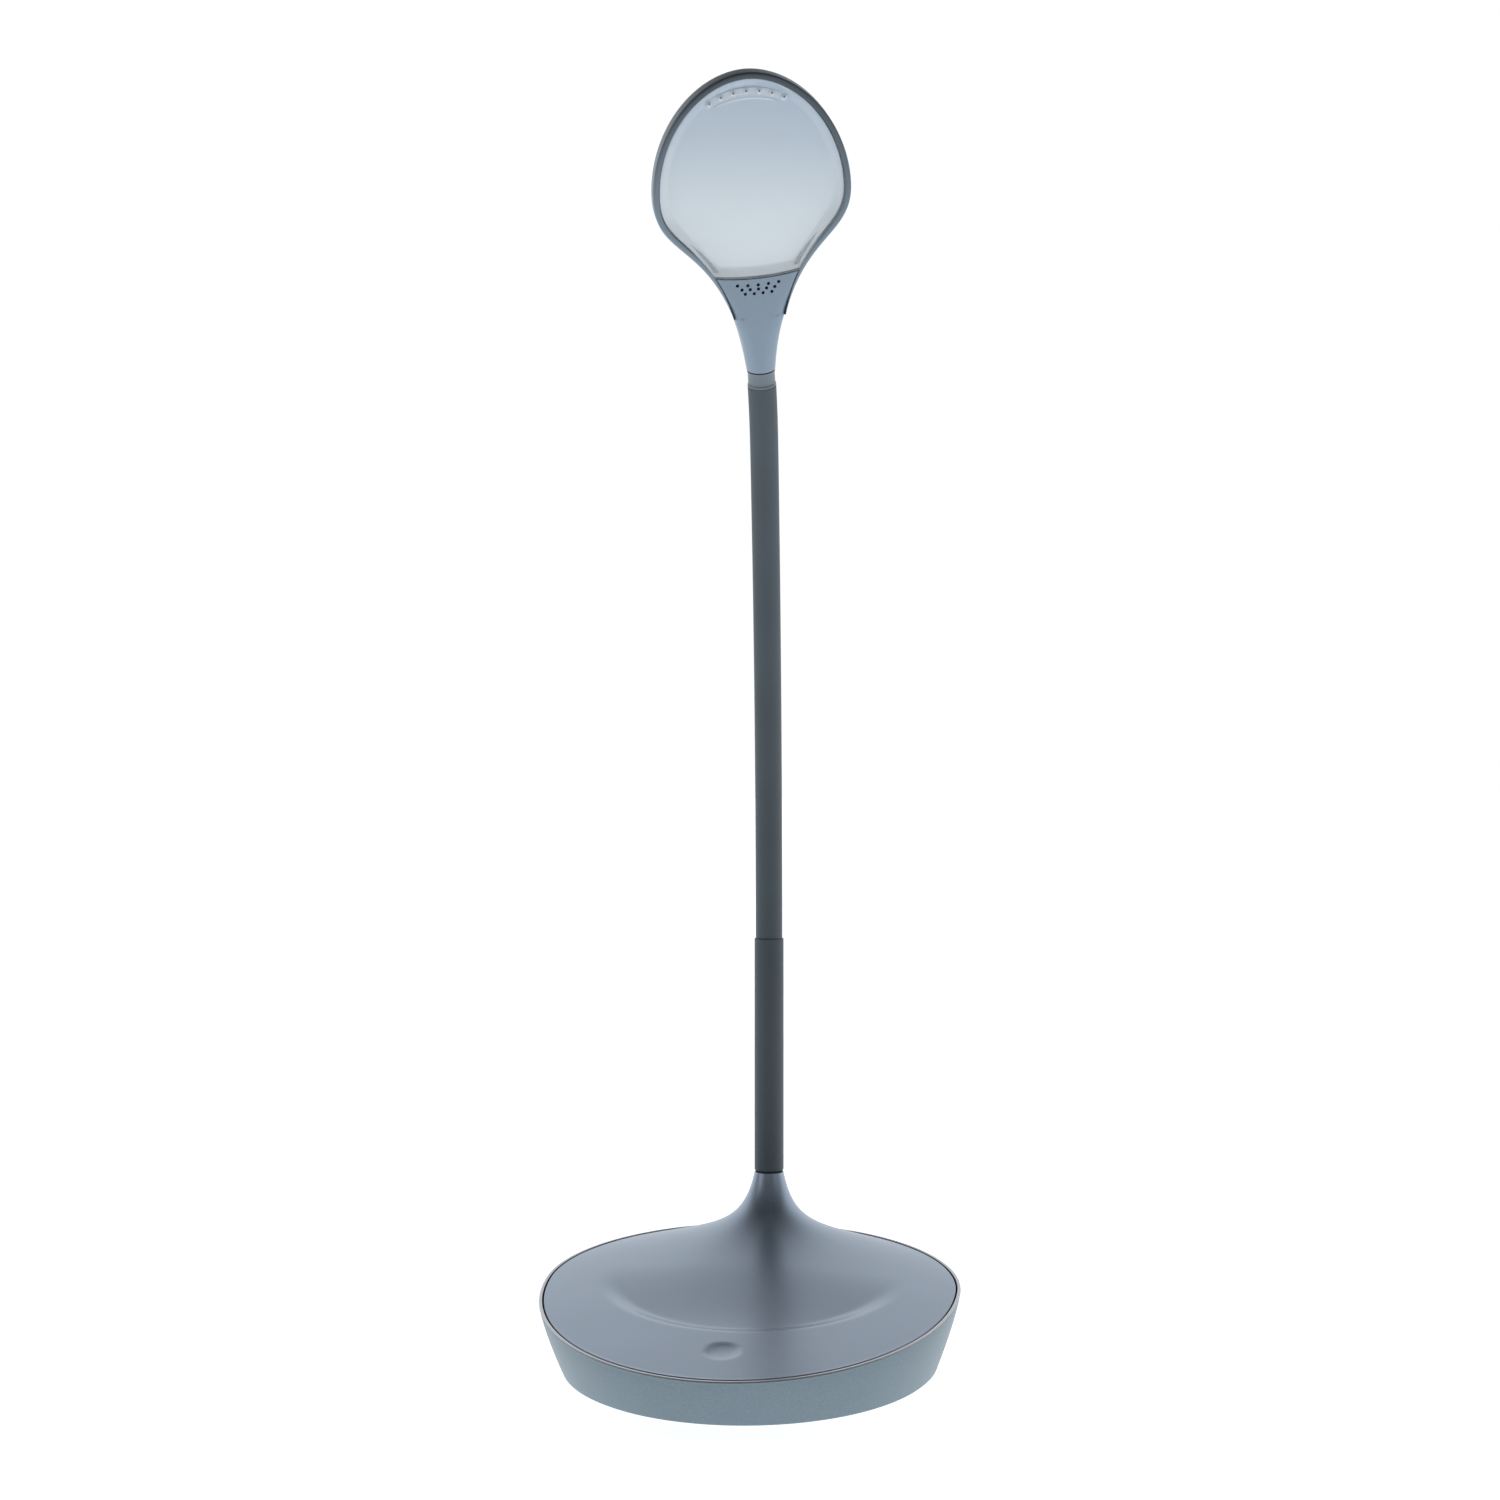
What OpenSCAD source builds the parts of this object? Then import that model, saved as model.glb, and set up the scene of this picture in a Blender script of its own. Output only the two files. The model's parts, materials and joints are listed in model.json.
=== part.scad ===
// Table-top gooseneck examination lamp: an egg-shaped weighted base, a flexible neck and a flat lamp head.
// Millimetres. +Z is up and the lamp's front faces -Y. The origin is the middle of the base's footprint,
// on the surface that the lamp stands on.

/* [Base] */
// Half the width of the rim
rim_half_w = 98.6; // [80:0.2:120]
// Reach of the rim in front of its widest line
rim_front = 108.9; // [90:0.1:130]
// Reach of the rim behind its widest line
rim_back = 81.5; // [70:0.5:98]
// Height of the rim at its widest line
rim_height = 38.7; // [34:0.1:50]
// Rise of the rim plane per millimetre towards the back
rim_slope = 0.141; // [0.08:0.001:0.16]
// How far the shell's wall leans in from the rim to the floor
shell_draft = 12; // [8:0.5:16]
// Thickness of the shell's wall
shell_wall = 2.6; // [2:0.1:4]
// Width of the lip that stands around the top cover
rim_lip = 1.55; // [1.2:0.05:2.5]
// Dark gap between the lip and the top cover
reveal_gap = 0.7; // [0.5:0.05:1.2]
// Thickness of the top cover
cover_wall = 2.4; // [2:0.1:3.5]
// Crown of the top cover above its rim plane
cover_dome = 3; // [2:0.1:5]
// Depth of the crescent hollow in the top cover
hollow_depth = 3; // [1:0.1:3.5]
// Radius of the touch control's dimple
dimple_r = 8; // [6:0.1:10]
// Depth of the dimple
dimple_depth = 1.2; // [0.6:0.1:1.6]

/* [Weight and plates] */
// Thickness of the rubber mat under the base
mat_t = 1.6; // [1.5:0.1:3]
// Thickness of the steel bottom plate
plate_t = 1.6; // [1.2:0.1:2.5]
// Thickness of the cast ballast
ballast_t = 8.8; // [6:0.1:10.5]
// Thickness of the stem bracket
bracket_t = 4; // [3:0.1:5]

/* [Stem] */
// Distance of the stem from the middle of the base
stem_y = 73; // [66:0.5:75]
// Height of the collar where the stem leaves the top cover
collar_z = 80.5; // [70:0.5:100]
// Height of the top of the rigid stem
stem_top_z = 196.5; // [160:0.5:260]
// Radius of the sleeve over the stem
stem_sleeve_r = 7.25; // [7:0.05:9]
// Outer radius of the steel stem tube
stem_tube_r = 5; // [4.6:0.1:5.4]
// Bore radius of the steel stem tube
stem_bore_r = 3.5; // [3.2:0.1:3.9]

/* [Flexible neck] */
// Length of the flexible neck
neck_len = 278; // [230:1:340]
// Forward lean of the neck's top end, in degrees
neck_lean = 32; // [0:0.5:60]
// Turn of the bend's plane towards the right, in degrees
neck_turn = 6.5; // [-20:0.5:20]
// Sideways tilt at the last joint, in degrees
neck_side = -2; // [-8:0.5:8]
// Most bend of one joint from straight, in degrees
joint_limit = 18; // [10:1:18]
// Outer radius of the neck's skin
neck_skin_r = 6.625; // [6.4:0.05:7.2]
// Inner radius of the neck's skin
neck_skin_bore_r = 5.2; // [5.1:0.05:5.4]
// Radius of the ball on top of each link
ball_r = 3.6; // [3.4:0.05:3.7]
// Running clearance between a ball and its cup
ball_clearance = 0.06; // [0.03:0.01:0.1]
// Radius of the wire bore through the links
wire_bore_r = 1.5; // [1.3:0.05:1.6]
// Radius of the two-core lead
lead_r = 1.1; // [0.8:0.05:1.15]

/* [Head] */
// Swivel of the head about the neck's end, in degrees
head_swivel = 11; // [-90:1:90]
// Length of the ferrule below the head
ferrule_len = 8; // [6:0.5:12]
// Radius of the throat at its bottom
throat_r = 6.6; // [6.2:0.1:7.5]
// Half the width of the head
head_half_w = 43.7; // [36:0.1:50]
// Distance from the throat's end to the widest line
head_wide_s = 83.5; // [76:0.1:95]
// Distance from the throat's end to the top of the head
head_top_s = 135.8; // [124:0.1:150]
// Depth of the face in front of the neck's axis
face_y = 7; // [6.9:0.1:8]
// Depth of the back behind the neck's axis
back_y = 8.4; // [8:0.1:10]
// Thickness of the head's walls
head_wall = 2; // [1.6:0.1:2.2]
// Width of the frame around the lens
bezel_w = 2.6; // [2.2:0.1:3.4]
// Thickness of the lens panel
lens_t = 2; // [1.6:0.1:2]
// Radius of one vent hole
vent_r = 0.75; // [0.5:0.05:0.9]
// Number of LEDs in the arc
led_count = 7; // [5:1:9]

/* [Hidden] */
neck_joints = 10;        // bending joints, half forward and half sideways
NECK_LINKS = [for (k = [0:neck_joints]) str("neck_link_", k)];
NECK_SKINS = [for (k = [0:neck_joints]) str("neck_skin_", k)];

fit = 0.05;              // gap between faces that sit on each other
cut = 1;                 // how far a cutter runs past what it cuts
ring_n = 96;             // points around the base
$fn = 48;

shell_color = [0.70, 0.76, 0.77];
cover_color = [0.45, 0.49, 0.51];
dark_color = [0.20, 0.23, 0.25];
neck_color = [0.32, 0.37, 0.40];
rubber_color = [0.12, 0.12, 0.13];
steel_color = [0.66, 0.67, 0.68];
brass_color = [0.80, 0.66, 0.36];
board_color = [0.10, 0.36, 0.24];
lens_color = [0.80, 0.86, 0.92, 0.6];

// ---- general helpers ----
function mix(a, b, t) = a + (b - a) * t;
function clamp01(v) = min(1, max(0, v));
function smooth(v) = let (c = clamp01(v)) c * c * (3 - 2 * c);
function unit(v) = v / norm(v);

// Solid through a stack of rings with equal numbers of points. Rings run counter-clockwise when they
// are seen from the side that the stack grows towards. A wrapped stack closes on its first ring.
module loft(rings, wrap = false) {
    n = len(rings[0]);
    m = len(rings);
    steps = wrap ? m : m - 1;
    points = [for (ring = rings) for (p = ring) p];
    sides = [for (j = [0:steps - 1]) for (i = [0:n - 1])
        let (a = j * n + i, b = j * n + (i + 1) % n,
             d = ((j + 1) % m) * n + i, c = ((j + 1) % m) * n + (i + 1) % n)
        each [[a, d, c], [a, c, b]]];
    caps = wrap ? [] : [[for (i = [0:n - 1]) i], [for (i = [n - 1:-1:0]) (m - 1) * n + i]];
    polyhedron(points, concat(sides, caps), convexity = 8);
}

// Lead through a list of points: each ring is the one before, slid along the stretch to the mitre plane
lead_sides = 10;
function slide_ring(ring, along, p, n) =
    [for (q = ring) q + along * (((p - q) * n) / (along * n))];
function lead_rings(path, ring, i = 0) =
    i == len(path) - 1 ? [ring] :
    let (along = unit(path[i + 1] - path[i]),
         n = i + 2 < len(path) ? unit(along + unit(path[i + 2] - path[i + 1])) : along)
    concat([ring], lead_rings(path, slide_ring(ring, along, path[i + 1], n), i + 1));
module lead(path, r = lead_r) {
    along = unit(path[1] - path[0]);
    u = unit(cross(along, abs(along[2]) < 0.9 ? [0, 0, 1] : [1, 0, 0]));
    v = cross(along, u);
    loft(lead_rings(path, [for (k = [0:lead_sides - 1]) let (a = 360 * k / lead_sides)
        path[0] + r * (cos(a) * u + sin(a) * v)]));
}

module tube(outer, bore, h) {
    difference() {
        cylinder(r = outer, h = h);
        translate([0, 0, -cut]) cylinder(r = bore, h = h + 2 * cut);
    }
}

// ---- base outline: two half ellipses that share their widest line ----
egg_y = (rim_front - rim_back) / 2;
function egg(inset, a) = [
    (rim_half_w - inset) * cos(a),
    egg_y + ((sin(a) < 0 ? rim_front : rim_back) - inset) * sin(a)];
function egg_ring(inset) = [for (i = [0:ring_n - 1]) egg(inset, 360 * i / ring_n)];
function rim_z(y) = rim_height + rim_slope * (y - egg_y);

// ---- top cover surface ----
cover_inset = rim_lip + reveal_gap;
cover_rise = collar_z - rim_z(stem_y) - cover_dome;
hollow_y = 22.7;         // straight back edge of the crescent hollow
hollow_half_w = 74;
hollow_reach = 70;
hollow_side = 6;         // width of the hollow's front slope
hollow_ramp = 45;        // length over which the hollow deepens
dimple_y = egg_y - rim_front + 28.9;
edge_drop = 3;           // height of the cover's edge
seal_t = 1;
ledge_drop = edge_drop + seal_t + 2 * fit;
seat_inset = 5;          // inner edge of the ledge that carries the seal

function hollow(p) =
    let (v = hollow_y - p[1], q = norm([p[0] / hollow_half_w, v / hollow_reach]))
    v <= 0 ? 0 : hollow_depth * clamp01(v / hollow_ramp) * smooth((1 - q) * hollow_reach / hollow_side);
function dimple(p) =
    let (q = norm([p[0], p[1] - dimple_y]) / dimple_r) q >= 1 ? 0 : dimple_depth * (1 - q * q) ^ 0.6;

// Height of the cover's outside at plan point p, a share t of the way from the collar to the rim
function cover_height(p, t) =
    let (r = max(stem_sleeve_r, norm(p - [0, stem_y])))
    rim_z(mix(stem_y, p[1], clamp01(4 * t))) + cover_rise * (stem_sleeve_r / r) * (1 - t)
        + cover_dome * (1 - t * t) - hollow(p) - dimple(p);

// Plan point a share t of the way from a circle of radius r around the stem to rim point q
function cover_plan(q, r, t) =
    let (c = [0, stem_y], start = c + r * unit(q - c)) mix(start, q, t);

function cover_outer_ring(t) = [for (q = egg_ring(cover_inset))
    let (p = cover_plan(q, stem_sleeve_r, t)) [p[0], p[1], cover_height(p, t)]];
function cover_inner_ring(t) = [for (i = [0:ring_n - 1])
    let (a = 360 * i / ring_n,
         outer = cover_plan(egg(cover_inset, a), stem_sleeve_r, t),
         p = cover_plan(egg(seat_inset - 2 * fit, a), stem_tube_r + fit, t))
    [p[0], p[1], cover_height(outer, t) - cover_wall * t ^ 0.3]];
function rim_ring(inset, drop) = [for (p = egg_ring(inset)) [p[0], p[1], rim_z(p[1]) - drop]];

// Height of the cover's outside above any plan point: walks along the ray from the stem to the rim
function ray_to_rim(dir, half_w, reach) =
    let (a = (dir[0] / half_w) ^ 2 + (dir[1] / reach) ^ 2,
         b = (stem_y - egg_y) * dir[1] / reach ^ 2,
         c = ((stem_y - egg_y) / reach) ^ 2 - 1)
    (-b + sqrt(b * b - a * c)) / a;
function rim_distance(dir) =
    let (w = rim_half_w - cover_inset, back = ray_to_rim(dir, w, rim_back - cover_inset))
    stem_y + back * dir[1] >= egg_y ? back : ray_to_rim(dir, w, rim_front - cover_inset);
function cover_z(p) =
    let (d = p - [0, stem_y], t = (norm(d) - stem_sleeve_r) / (rim_distance(unit(d)) - stem_sleeve_r))
    cover_height(p, t);

// ---- base stack, from the floor up ----
shell_floor = 1;
plate_z = mat_t;
ballast_z = plate_z + plate_t + fit;
ballast_top = ballast_z + ballast_t;
plate_inset = shell_draft + 3.2;
shell_power = 1.25;      // curve of the shell's wall
flange_z = plate_z + plate_t + fit;
flange_t = 2.15;
flange_inset = shell_draft + 9;
ballast_inset = flange_inset + 1.5;
mat_inset = plate_inset + 3.5;
post_r = 3.6;
posts = [[-62, -10], [62, -10], [-46, 54], [46, 54]];
screw_r = 1.35;
screw_head_r = 2.75;
screw_head_h = 1.2;
plate_screw_len = 12;

function wall_inset(f) = shell_draft * (1 - f) ^ shell_power;
function wall_ring(f, extra) = [for (i = [0:ring_n - 1])
    let (a = 360 * i / ring_n, z = f * rim_z(egg(0, a)[1]), p = egg(wall_inset(f) + extra, a))
    [p[0], p[1], z]];
function flat_ring(inset, z) = [for (p = egg_ring(inset)) [p[0], p[1], z]];

module base_shell() {
    edge = 0.45;
    color(shell_color) difference() {
        loft(concat(
            [flat_ring(shell_draft + 2, shell_floor), flat_ring(shell_draft + 0.8, shell_floor + 0.6)],
            [for (f = [0.16, 0.28, 0.42, 0.56, 0.7, 0.84, 0.95]) wall_ring(f, 0)],
            [rim_ring(0, edge), rim_ring(edge, 0), rim_ring(rim_lip, 0), rim_ring(rim_lip, ledge_drop),
             rim_ring(seat_inset, ledge_drop), rim_ring(seat_inset, ledge_drop + 3)],
            [for (f = [0.6, 0.45, 0.32]) wall_ring(f, shell_wall)],
            [flat_ring(shell_draft + shell_wall - 1.5, flange_z + flange_t),
             flat_ring(flange_inset, flange_z + flange_t), flat_ring(flange_inset, flange_z),
             flat_ring(plate_inset - 0.2, flange_z), flat_ring(plate_inset - 0.2, shell_floor)]),
            wrap = true);
        jack_place() translate([0, 0, -jack_nose]) cylinder(r = jack_r + 2 * fit, h = jack_nose + 5);
    }
}

module top_cover() {
    outer_steps = [for (k = [24:-1:0]) (k / 24) ^ 1.35];
    inner_steps = [for (k = [0:12]) (k / 12) ^ 1.35];
    color(cover_color) difference() {
        union() {
            loft(concat([for (t = outer_steps) cover_outer_ring(t)],
                [for (t = inner_steps) cover_inner_ring(t)],
                [rim_ring(seat_inset - 2 * fit, edge_drop), rim_ring(cover_inset, edge_drop)]),
                wrap = true);
            for (p = posts) translate([p[0], p[1], flange_z])
                cylinder(r = post_r, h = cover_z(p) - cover_wall / 2 - flange_z);
        }
        for (p = posts) translate([p[0], p[1], flange_z - cut])
            cylinder(r = screw_r + fit, h = plate_screw_len + cut);
    }
}

module cover_seal() {
    color(rubber_color) loft([
        rim_ring(rim_lip + fit, ledge_drop - fit), rim_ring(rim_lip + fit, edge_drop + fit),
        rim_ring(seat_inset - 2 * fit, edge_drop + fit), rim_ring(seat_inset - 2 * fit, ledge_drop - fit)],
        wrap = true);
}

module egg_slab(inset, z, h) {
    translate([0, 0, z]) linear_extrude(height = h) polygon(egg_ring(inset));
}

module bottom_plate() {
    color(steel_color) difference() {
        egg_slab(plate_inset, plate_z, plate_t);
        for (p = posts) translate([p[0], p[1], 0]) cylinder(r = screw_r + 0.3, h = 10);
    }
}

module foot_mat() {
    color(rubber_color) difference() {
        egg_slab(mat_inset, 0, mat_t - fit);
        for (p = posts) translate([p[0], p[1], -cut]) cylinder(r = screw_head_r + 0.8, h = mat_t + 2 * cut);
    }
}

module ballast() {
    notch_w = 30;
    color(dark_color) difference() {
        egg_slab(ballast_inset, ballast_z, ballast_t);
        translate([-notch_w / 2, stem_y - 12, 0]) cube([notch_w, 40, 40]);
        for (p = posts) translate([p[0], p[1], 0]) cylinder(r = post_r + 1, h = 40);
        for (p = concat(bracket_holes, board_holes)) translate([p[0], p[1], ballast_top - 6])
            cylinder(r = screw_r + fit, h = 6 + cut);
    }
}

module plate_screws() {
    color(steel_color) for (p = posts) translate([p[0], p[1], plate_z - fit]) {
        cylinder(r = screw_r, h = plate_screw_len);
        translate([0, 0, -screw_head_h]) cylinder(r = screw_head_r, h = screw_head_h);
    }
}

// ---- stem and its bracket ----
bracket_z = ballast_top + fit;
bracket_holes = [[-12, stem_y - 34], [12, stem_y - 34], [-12, stem_y - 17], [12, stem_y - 17]];
bracket_r = 9.5;
nut_h = 4;
washer_t = 0.8;
stem_flange_t = 2;
stem_end_z = bracket_z - washer_t - nut_h - 1.5;
lead_hole_z = bracket_z + bracket_t + stem_flange_t + 8;

module stem_bracket() {
    color(steel_color) difference() {
        union() {
            translate([-17, stem_y - 40, bracket_z]) cube([34, 27, bracket_t]);
            translate([-bracket_r, stem_y - 13 - fit, bracket_z]) cube([2 * bracket_r, 13 + fit, bracket_t]);
            translate([0, stem_y, bracket_z]) cylinder(r = bracket_r, h = bracket_t);
        }
        translate([0, stem_y, 0]) cylinder(r = stem_tube_r + fit, h = 60);
        for (p = bracket_holes) translate([p[0], p[1], 0]) cylinder(r = screw_r + 0.3, h = 60);
    }
}

module bracket_screws() {
    color(steel_color) for (p = bracket_holes) translate([p[0], p[1], bracket_z + bracket_t + fit]) {
        translate([0, 0, -bracket_t - 5]) cylinder(r = screw_r, h = bracket_t + 5);
        cylinder(r = screw_head_r, h = 2);
    }
}

module stem_washer() {
    color(steel_color) translate([0, stem_y, bracket_z - washer_t - fit])
        tube(7.4, stem_tube_r + fit, washer_t);
}

module stem_nut() {
    color(brass_color) translate([0, stem_y, bracket_z - washer_t - 2 * fit - nut_h]) difference() {
        cylinder(r = 7.8, h = nut_h, $fn = 6);
        translate([0, 0, -cut]) cylinder(r = stem_tube_r + fit, h = nut_h + 2 * cut);
    }
}

module stem_tube() {
    flange_z = bracket_z + bracket_t + fit;
    color(steel_color) difference() {
        union() {
            translate([0, stem_y, stem_end_z]) cylinder(r = stem_tube_r, h = stem_top_z - stem_end_z);
            translate([0, stem_y, flange_z]) cylinder(r = 8, h = stem_flange_t);
        }
        translate([0, stem_y, 0]) cylinder(r = stem_bore_r, h = stem_top_z + cut);
        translate([0, stem_y, lead_hole_z]) rotate([90, 0, 0]) cylinder(r = lead_r + 0.9, h = 10);
    }
}

module collar_ring() {
    color(rubber_color) translate([0, stem_y, collar_z + fit]) tube(stem_sleeve_r - 0.5, stem_tube_r + fit, 0.8);
}

module stem_sleeve() {
    z = collar_z + 0.8 + 2 * fit;
    color(neck_color) translate([0, stem_y, z]) tube(stem_sleeve_r, stem_tube_r + fit, stem_top_z - z);
}

// ---- electronics in the base ----
board_size = [56, 38, 1.6];
board_y = -29;
board_z = ballast_top + 5;
board_holes = [for (x = [-24, 24], y = [-15, 15]) [x, board_y + y]];

module control_board() {
    color(board_color) difference() {
        translate([-board_size[0] / 2, board_y - board_size[1] / 2, board_z]) cube(board_size);
        for (p = board_holes) translate([p[0], p[1], 0]) cylinder(r = screw_r + 0.2, h = 60);
    }
}

module board_standoffs() {
    color(brass_color) for (p = board_holes) translate([p[0], p[1], ballast_top + fit])
        tube(2.6, screw_r + fit, board_z - ballast_top - 2 * fit);
}

module board_screws() {
    top = board_z + board_size[2] + fit;
    color(steel_color) for (p = board_holes) translate([p[0], p[1], top]) {
        translate([0, 0, -10]) cylinder(r = screw_r, h = 10);
        cylinder(r = 2.4, h = 1.4);
    }
}

module board_parts() {
    z = board_z + board_size[2] + fit;
    color(dark_color) {
        translate([-8, board_y - 9, z]) cube([7, 7, 1.2]);
        translate([6, board_y - 12, z]) cube([9, 9, 4]);
        translate([-20, board_y + 1, z]) cube([6, 10, 3.2]);
        for (x = [4, 12]) translate([x, board_y + 6, z]) cylinder(r = 3.2, h = 4.6);
        for (x = [-9:3:0]) translate([x, board_y + 3, z]) cube([1.6, 0.8, 0.6]);
    }
}

module touch_sensor() {
    z = cover_z([0, dimple_y]) - cover_wall - 1;
    color(brass_color) translate([0, dimple_y, z]) rotate([atan(rim_slope), 0, 0])
        cylinder(r = dimple_r - 1.5, h = 0.8);
}

jack_x = 28;
jack_z = 18.5;
jack_r = 5.4;
jack_nose = 12;
jack_face_y = egg_y + (rim_back - wall_inset(jack_z / rim_z(egg_y + rim_back)))
    * sqrt(1 - (jack_x / (rim_half_w - shell_draft / 2)) ^ 2) + 0.4;
jack_bore_r = 2.75;
module jack_place() {
    translate([jack_x, jack_face_y, jack_z]) rotate([-90, 0, 0]) children();
}

module power_jack() {
    depth = 10;
    color(dark_color) jack_place() {
        difference() {
            union() {
                translate([0, 0, -jack_nose]) cylinder(r = jack_r, h = jack_nose);
                translate([-6.5, -5.5, -jack_nose - 9]) cube([13, 11, 9]);
            }
            translate([0, 0, -depth]) cylinder(r = jack_bore_r, h = depth + cut);
        }
        translate([0, 0, -depth - 0.5]) cylinder(r = 1, h = depth - 1);
    }
}

// Leads: inlet to board, and board to stem and up to the first neck joint
board_top = board_z + board_size[2];
module base_leads() {
    up = [0, stem_y, lead_hole_z];
    jack_back = [jack_x, jack_face_y - jack_nose - 9 - fit, jack_z];
    color(rubber_color) {
        lead([[-17, board_y + 11.2, board_top + 2], [-22, 6, board_top + 3], [-17, 40, board_top + 4],
              [0, stem_y - 9, lead_hole_z], up,
              [0, stem_y, stem_top_z + link_pitch / 2 - lead_end]]);
        lead([jack_back, [jack_x, jack_back[1] - 6, jack_z], [jack_x + 4, 20, board_top + 3],
              [22, board_y + 19.5, board_top + 3], [14, board_y + 12, board_top + 1.3]]);
    }
}

// ---- flexible neck: ball-and-cup links inside separate lengths of skin ----
link_pitch = neck_len / neck_joints;
lead_end = 0.3;          // each lead stops this far from a joint's centre
cup_r = 4.8;
cup_low = -1.5;
cup_high = 4.5;
core_r = 3.2;
ball_neck_r = 2.4;
shoulder = 3.6;          // wide parts of a link stay this far below the next joint
land_r = neck_skin_bore_r - fit;
half_limit = joint_limit / 2;
function skin_end(r) = r * tan(half_limit + 0.6) + 0.1;

// Places children in the frame of link k, whose lower joint is joint k
module neck_frame(k) {
    if (k == 0) translate([0, stem_y, stem_top_z]) rotate([0, 0, neck_turn]) children();
    else neck_frame(k - 1)
        translate([0, 0, k == 1 ? link_pitch / 2 : link_pitch])
            rotate(k % 2 == 1 ? [neck_lean * 2 / neck_joints, 0, 0]
                              : [0, k == neck_joints ? neck_side : 0, 0])
                children();
}

module neck_end() { neck_frame(neck_joints) translate([0, 0, link_pitch / 2]) children(); }
module head_frame() { neck_end() translate([0, 0, ferrule_len]) rotate([0, 0, head_swivel]) children(); }

// Cup around the ball below: a short tube with a round cavity and a wire bore out of its top
module link_cup() {
    difference() {
        union() {
            translate([0, 0, cup_low]) cylinder(r = cup_r, h = cup_high - cup_low);
            translate([0, 0, cup_high - 0.5]) cylinder(r = core_r, h = 1);
        }
        sphere(r = ball_r + ball_clearance);
        translate([0, 0, cup_low - cut]) cylinder(r = 3.34, h = -cup_low + cut);
        cylinder(r = wire_bore_r, h = 10);
    }
}

// Ball at height z on its thin stem, with a bore that widens upwards for the bent lead
module link_ball(z, bottom) {
    difference() {
        union() {
            translate([0, 0, z]) sphere(r = ball_r);
            translate([0, 0, z - shoulder - 1]) cylinder(r = ball_neck_r, h = shoulder);
            translate([0, 0, bottom]) cylinder(r = core_r, h = z - shoulder - bottom);
        }
        translate([0, 0, bottom - cut]) cylinder(r = wire_bore_r, h = z - bottom + 2 * cut);
        translate([0, 0, z]) cylinder(r1 = wire_bore_r, r2 = wire_bore_r * 2, h = ball_r + 0.1);
    }
}

module land(z) { translate([0, 0, z]) tube(land_r, core_r - 0.2, 3); }

module neck_link(k) {
    top = k == 0 ? link_pitch / 2 : link_pitch;
    socket = 8;          // depth of the seat for the swivel spigot in the last link
    color(steel_color) neck_frame(k) {
        if (k == 0) {
            translate([0, 0, -10]) tube(stem_bore_r - fit, wire_bore_r, 10 + 1);
            land(fit);
            link_ball(top, 0);
        } else if (k < neck_joints) {
            link_cup();
            land(cup_high + 1);
            link_ball(top, cup_high);
        } else {
            end = link_pitch / 2;
            link_cup();
            translate([0, 0, cup_high]) tube(core_r, wire_bore_r, end - socket - cup_high);
            translate([0, 0, end - socket]) difference() {
                cylinder(r = land_r, h = socket);
                translate([0, 0, -cut]) cylinder(r = wire_bore_r, h = socket);
                translate([0, 0, 1.5]) cylinder(r = spigot_r + fit, h = socket);
            }
        }
    }
    if (k > 0) {
        stop = k == neck_joints ? link_pitch / 2 + ferrule_len + lead_split : link_pitch - lead_end;
        color(rubber_color) neck_frame(k) translate([0, 0, lead_end]) cylinder(r = lead_r, h = stop - lead_end);
    }
}

module neck_skin(k) {
    low = k == 0 ? 0 : 1;
    top = k == 0 || k == neck_joints ? link_pitch / 2 : link_pitch;
    high = k == neck_joints ? 0 : 1;
    a = neck_skin_bore_r;
    b = neck_skin_r;
    color(neck_color) neck_frame(k) rotate_extrude() polygon([
        [a, fit + low * skin_end(a)], [b, fit + low * skin_end(b)],
        [b, top - high * skin_end(b)], [a, top - high * skin_end(a)]]);
}

// ---- swivel at the neck's end ----
spigot_r = 3.4;
spigot_top = 15;
groove_s = 12.4;
friction_t = 0.25;
lead_split = 7;          // height above the ferrule where the head's own lead begins

module swivel_spigot() {
    bottom = -6.4;
    color(steel_color) neck_end() difference() {
        translate([0, 0, bottom]) cylinder(r = spigot_r, h = ferrule_len + spigot_top - bottom);
        translate([0, 0, bottom - cut]) cylinder(r = wire_bore_r, h = 60);
        translate([0, 0, ferrule_len + groove_s]) tube(spigot_r + cut, spigot_r - 0.5, 0.9);
    }
}

module swivel_ferrule() {
    waist = 0.35;
    h = ferrule_len - friction_t - 3 * fit;
    r = neck_skin_r - 0.3;
    color(dark_color) neck_end() rotate_extrude() polygon([
        [spigot_r + fit, fit], [r, fit], [r, 1.2], [r - waist, 2.2], [r - waist, h - 1.6], [r, h - 0.6],
        [r, h], [spigot_r + fit, h]]);
}

module friction_washer() {
    color(rubber_color) neck_end() translate([0, 0, ferrule_len - friction_t - 2 * fit])
        tube(throat_r - 0.8, spigot_r + fit, friction_t);
}

module swivel_clip() {
    color(steel_color) neck_end() translate([0, 0, ferrule_len + groove_s + fit])
        tube(5.1, spigot_r - 0.5 + fit, 0.8);
}

bush_len = 12;
module swivel_bush() {
    color(brass_color) head_frame() translate([0, 0, 0.2]) tube(4.6 - fit, spigot_r + fit, bush_len);
}

// ---- head outline: a curve from the throat to the widest line, then a rounded top ----
shoulder_1 = [13.4, 65];  // first handle of the side curve
shoulder_2 = 56.2;        // height of the second handle
top_power = 2 / 1.92;     // roundness of the top
side_n = 14;
top_n = 12;
edge_n = 8;
collar_s = 27;            // where the back shell ends on the throat
lens_corner_s = 46.9;
lens_sag = 1.6;           // how far the lens's lower edge sags between its corners

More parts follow.
